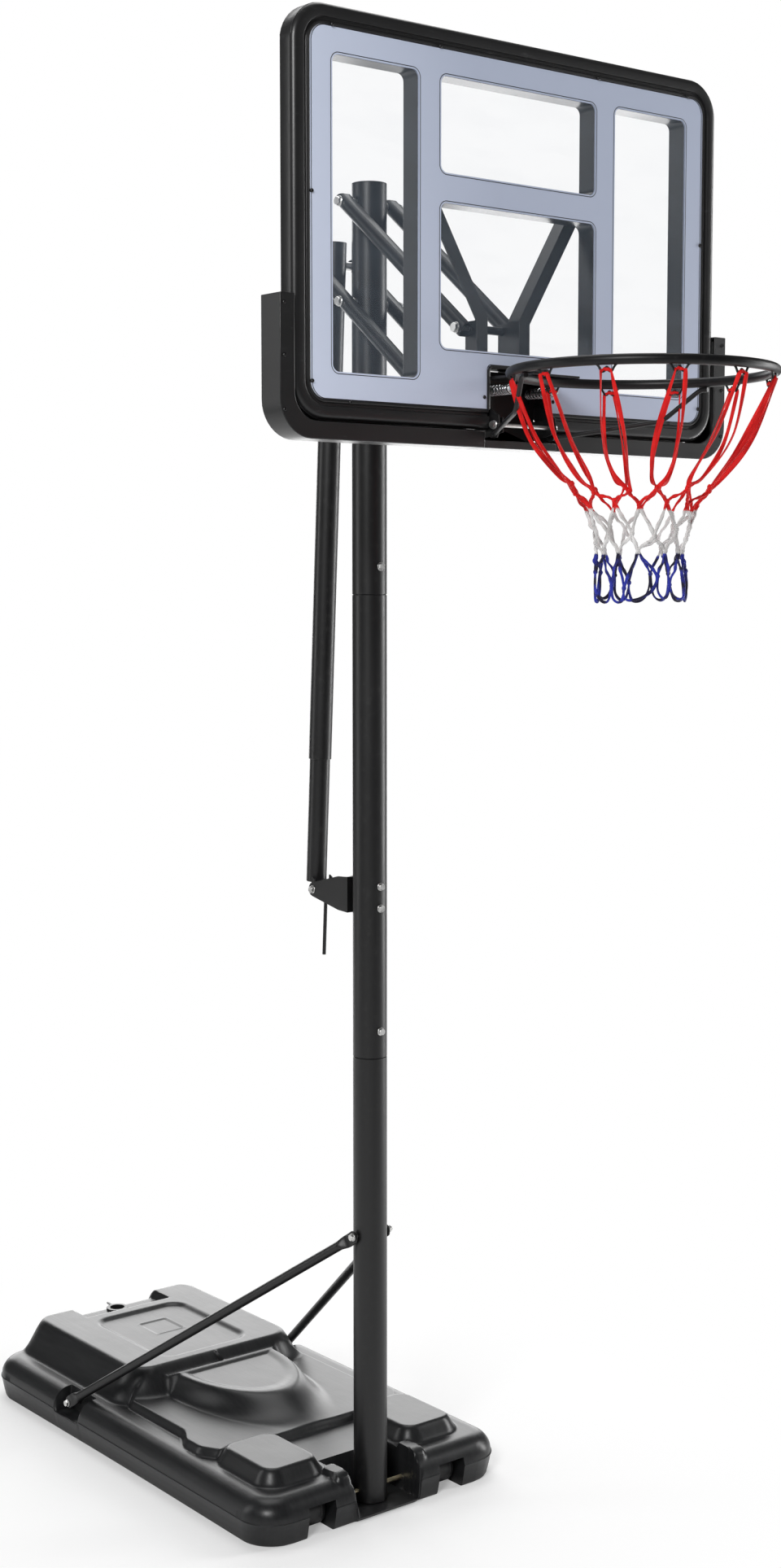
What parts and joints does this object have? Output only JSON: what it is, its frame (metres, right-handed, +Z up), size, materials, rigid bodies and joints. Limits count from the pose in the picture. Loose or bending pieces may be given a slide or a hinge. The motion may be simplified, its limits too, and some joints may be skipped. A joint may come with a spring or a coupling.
{
  "type": "portable basketball hoop",
  "caption": "Portable basketball hoop on a water-filled wheeled base; a hand-cranked screw jack lifts the backboard on a parallelogram of arms, and the rim tilts on springs.",
  "frame": {"origin": "pole axis where it meets the floor plane under the base", "axes": "+Z up, +X to the right for someone facing the backboard, -Y towards the rim and the player"},
  "size_m": [1.12, 2.124, 2.979],
  "materials": {
    "tank_plastic": "blow-moulded dark grey polyethylene, semi-gloss with a fine grain",
    "black_steel": "satin black powder coat",
    "zinc_steel": "bright zinc plate",
    "yellow_zinc": "yellow passivated zinc plate",
    "black_plastic": "satin black moulded plastic",
    "clear_sheet": "clear polycarbonate, printed on its rear face",
    "spring_steel": "dark oiled spring steel",
    "net_cord": "braided polyester cord in red, white and blue"
  },
  "bodies": {
    "stand": {"base_tank": "tank_plastic", "axle_rod": "yellow_zinc", "lower_pole": "black_steel", "middle_pole": "black_steel", "upper_pole": "black_steel", "pole_cap": "black_plastic", "pole_joint_bolt_lower": "zinc_steel", "pole_joint_bolt_upper": "zinc_steel", "strut_left": "black_steel", "strut_right": "black_steel", "strut_foot_bolt_left": "zinc_steel", "strut_foot_bolt_right": "zinc_steel", "strut_top_bolt": "zinc_steel", "upper_pivot_bush_left": "zinc_steel", "upper_pivot_bush_right": "zinc_steel", "lower_pivot_bush_left": "zinc_steel", "lower_pivot_bush_right": "zinc_steel", "upper_pole_pivot_bolt": "zinc_steel", "lower_pole_pivot_bolt": "zinc_steel", "jack_bracket": "black_steel", "jack_foot_pivot_bolt": "zinc_steel", "jack_bracket_bolt_top": "zinc_steel", "jack_bracket_bolt_bottom": "zinc_steel"},
    "left_wheel": {"wheel_left": "black_plastic"},
    "right_wheel": {"wheel_right": "black_plastic"},
    "plug": {"filler_plug": "black_plastic"},
    "lower_arms": {"lower_arm_left": "black_steel", "lower_arm_right": "black_steel", "jack_top_pin_left": "zinc_steel", "jack_top_pin_right": "zinc_steel"},
    "upper_arms": {"upper_arm_left": "black_steel", "upper_arm_right": "black_steel"},
    "board": {"backboard_frame": "black_plastic", "backboard_sheet": "clear_sheet", "guard_left": "black_plastic", "guard_right": "black_plastic", "guard_centre": "black_plastic", "board_bracket_left": "black_steel", "board_bracket_right": "black_steel", "upper_front_pivot_bolt": "zinc_steel", "lower_front_pivot_bolt": "zinc_steel", "upper_front_sleeve": "black_steel", "lower_front_sleeve": "black_steel", "rim_mount_plate": "black_steel", "rim_hinge_bolt": "zinc_steel", "spring_bolt_left": "zinc_steel", "spring_bolt_right": "zinc_steel", "rim_spring_left": "spring_steel", "rim_spring_right": "spring_steel"},
    "rim": {"rim_plate": "black_steel", "rim_ring": "black_steel", "rim_brace_left": "black_steel", "rim_brace_right": "black_steel", "net": "net_cord"},
    "jack_lower": {"jack_inner_tube": "black_steel"},
    "jack_upper": {"jack_outer_tube": "black_steel", "jack_nut": "zinc_steel"},
    "crank": {"crank_handle": "black_steel", "jack_screw": "spring_steel"}
  },
  "joints": [
    {"name": "lift", "type": "hinge", "parent": "stand", "child": "lower_arms", "pos_m": [0, 0, 2.547], "axis": [-1, 0, 0], "range_deg": [0, 101]},
    {"name": "upper_arm_pivot", "type": "hinge", "parent": "stand", "child": "upper_arms", "pos_m": [0, 0, 2.746], "axis": [-1, 0, 0], "range_deg": [-1, 102]},
    {"name": "board_pivot", "type": "hinge", "parent": "lower_arms", "child": "board", "pos_m": [0, -0.36485, 2.26195], "axis": [-1, 0, 0], "range_deg": [-102, 1]},
    {"name": "rim_tilt", "type": "hinge", "parent": "board", "child": "rim", "pos_m": [0, -0.472, 2.272], "axis": [1, 0, 0], "range_deg": [0, 15], "stiffness_Nm_per_rad": 300, "springref_deg": -11.46, "deforming": ["rim_spring_left", "rim_spring_right"]},
    {"name": "jack_swing", "type": "hinge", "parent": "stand", "child": "jack_lower", "pos_m": [0, 0.161, 1.322], "axis": [1, 0, 0], "range_deg": [-1, 5]},
    {"name": "jack_travel", "type": "slide", "parent": "jack_lower", "child": "jack_upper", "axis": [0, -0.0537, 0.9986], "range_m": [-0.235, 0.005]},
    {"name": "crank_turn", "type": "hinge", "parent": "jack_lower", "child": "crank", "pos_m": [0, 0.18896, 1.3235], "axis": [0, -0.0537, 0.9986], "continuous": true},
    {"name": "left_wheel_spin", "type": "hinge", "parent": "stand", "child": "left_wheel", "pos_m": [-0.176, 0, 0.038], "axis": [1, 0, 0], "continuous": true},
    {"name": "right_wheel_spin", "type": "hinge", "parent": "stand", "child": "right_wheel", "pos_m": [0.176, 0, 0.038], "axis": [1, 0, 0], "continuous": true},
    {"name": "plug_pull", "type": "slide", "parent": "stand", "child": "plug", "axis": [0, 0, 1], "range_m": [0, 0.06]}
  ],
  "couplings": [
    {"joint": "upper_arm_pivot", "follows": "lift", "ratio": 1},
    {"joint": "board_pivot", "follows": "lift", "ratio": -1},
    {"joint": "jack_swing", "follows": "lift", "ratio": 0.0322},
    {"joint": "jack_travel", "follows": "lift", "m_per_rad": -0.1264}
  ]
}
